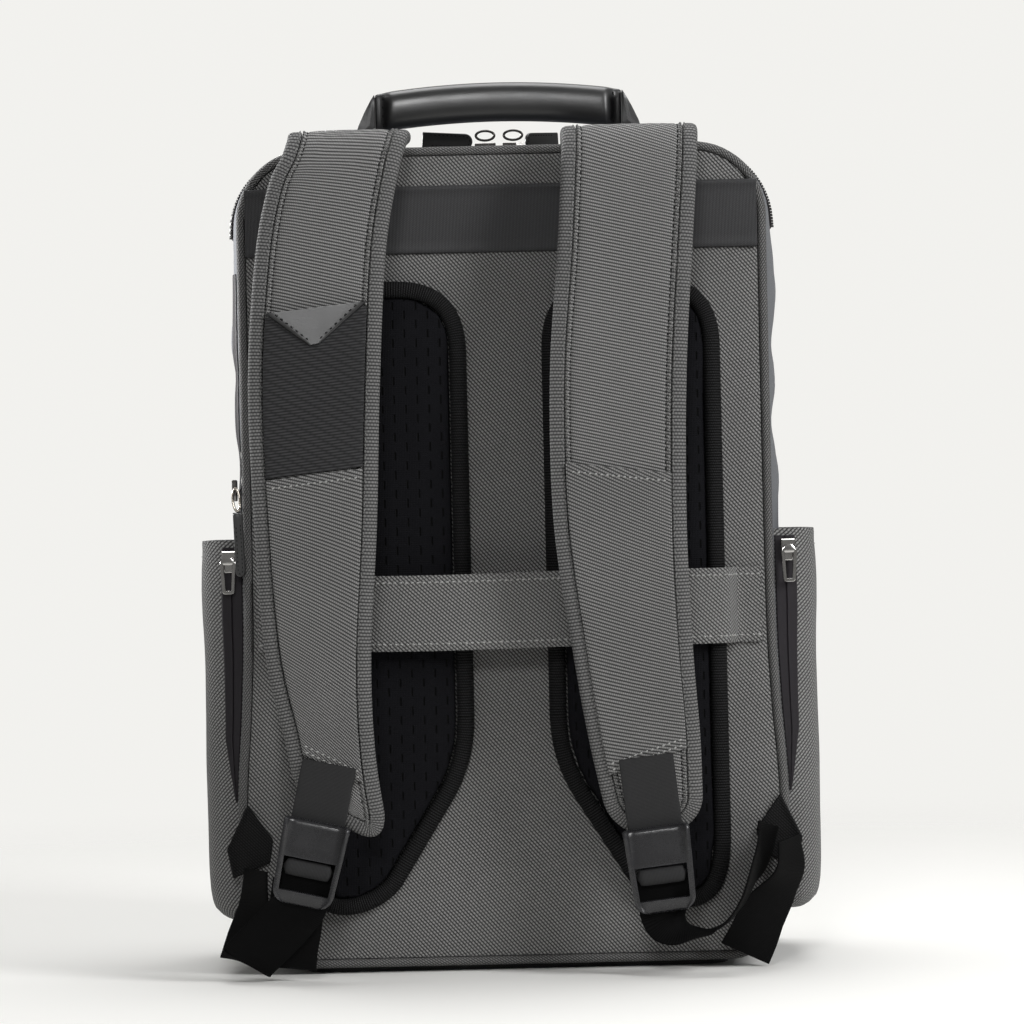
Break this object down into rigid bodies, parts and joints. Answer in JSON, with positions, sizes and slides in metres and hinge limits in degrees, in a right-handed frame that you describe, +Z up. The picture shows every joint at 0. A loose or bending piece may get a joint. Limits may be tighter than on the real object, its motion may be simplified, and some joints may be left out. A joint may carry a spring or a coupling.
{
  "type": "laptop backpack",
  "caption": "Dark grey laptop backpack with padded shoulder straps, back pads, luggage sleeve, zipped side pockets and a leather top handle, standing on its base.",
  "frame": {"origin": "middle of the flat base on the ground", "axes": "+Z up towards the handle, -Y towards the wearer's back, +X to the right in the picture, which shows the wearer's side"},
  "size_m": [0.3516, 0.2182, 0.4985],
  "materials": {
    "twill": "matt twill",
    "gusset_cloth": "matt plain weave",
    "yoke_cloth": "matt fine weave",
    "piping_cloth": "matt",
    "pad_mesh": "matt air mesh",
    "pad_rib": "matt ribbed binding",
    "strap_twill": "matt ribbed twill",
    "binding_cloth": "matt binding",
    "ribbed_cloth": "matt grosgrain",
    "webbing": "matt webbing",
    "leather": "soft satin",
    "buckle_plastic": "satin",
    "zip_tape": "matt",
    "zip_coil": "satin",
    "metal": "polished",
    "base_rubber": "coated cloth"
  },
  "bodies": {
    "root": {"back_panel": "twill", "side_gusset": "gusset_cloth", "front_panel": "twill", "base_panel": "base_rubber", "back_piping": "piping_cloth", "front_piping": "piping_cloth", "main_zip_tape": "zip_tape", "main_zip_coil": "zip_coil", "side_zip_tape": "zip_tape", "top_slider_left": "metal", "top_slider_right": "metal", "top_ring_left": "metal", "top_ring_right": "metal", "top_pull_left": "leather", "top_pull_right": "leather", "side_slider": "metal", "side_ring": "metal", "side_pull": "leather", "yoke_band": "yoke_cloth", "pad_left": "pad_mesh", "pad_right": "pad_mesh", "pad_binding_left": "pad_rib", "pad_binding_right": "pad_rib", "luggage_strap": "twill", "shoulder_strap_left": "strap_twill", "shoulder_strap_right": "strap_twill", "strap_binding_left": "binding_cloth", "strap_binding_right": "binding_cloth", "strap_cover_left": "strap_twill", "strap_cover_right": "strap_twill", "strap_pocket_panel": "ribbed_cloth", "leather_tab": "leather", "strap_webbing_left": "webbing", "strap_webbing_right": "webbing", "ladder_buckle_left": "buckle_plastic", "ladder_buckle_right": "buckle_plastic", "adjuster_webbing_left": "webbing", "adjuster_webbing_right": "webbing", "webbing_tail_left": "webbing", "webbing_tail_right": "webbing", "wing_tab_left": "twill", "wing_tab_right": "twill", "pocket_left": "twill", "pocket_right": "twill", "pocket_zip_left": "zip_tape", "pocket_zip_right": "zip_tape", "pocket_slider_left": "metal", "pocket_slider_right": "metal", "pocket_pull_left": "metal", "pocket_pull_right": "metal", "handle_grip": "leather", "handle_tab_left": "leather", "handle_tab_right": "leather"}
  },
  "joints": []
}
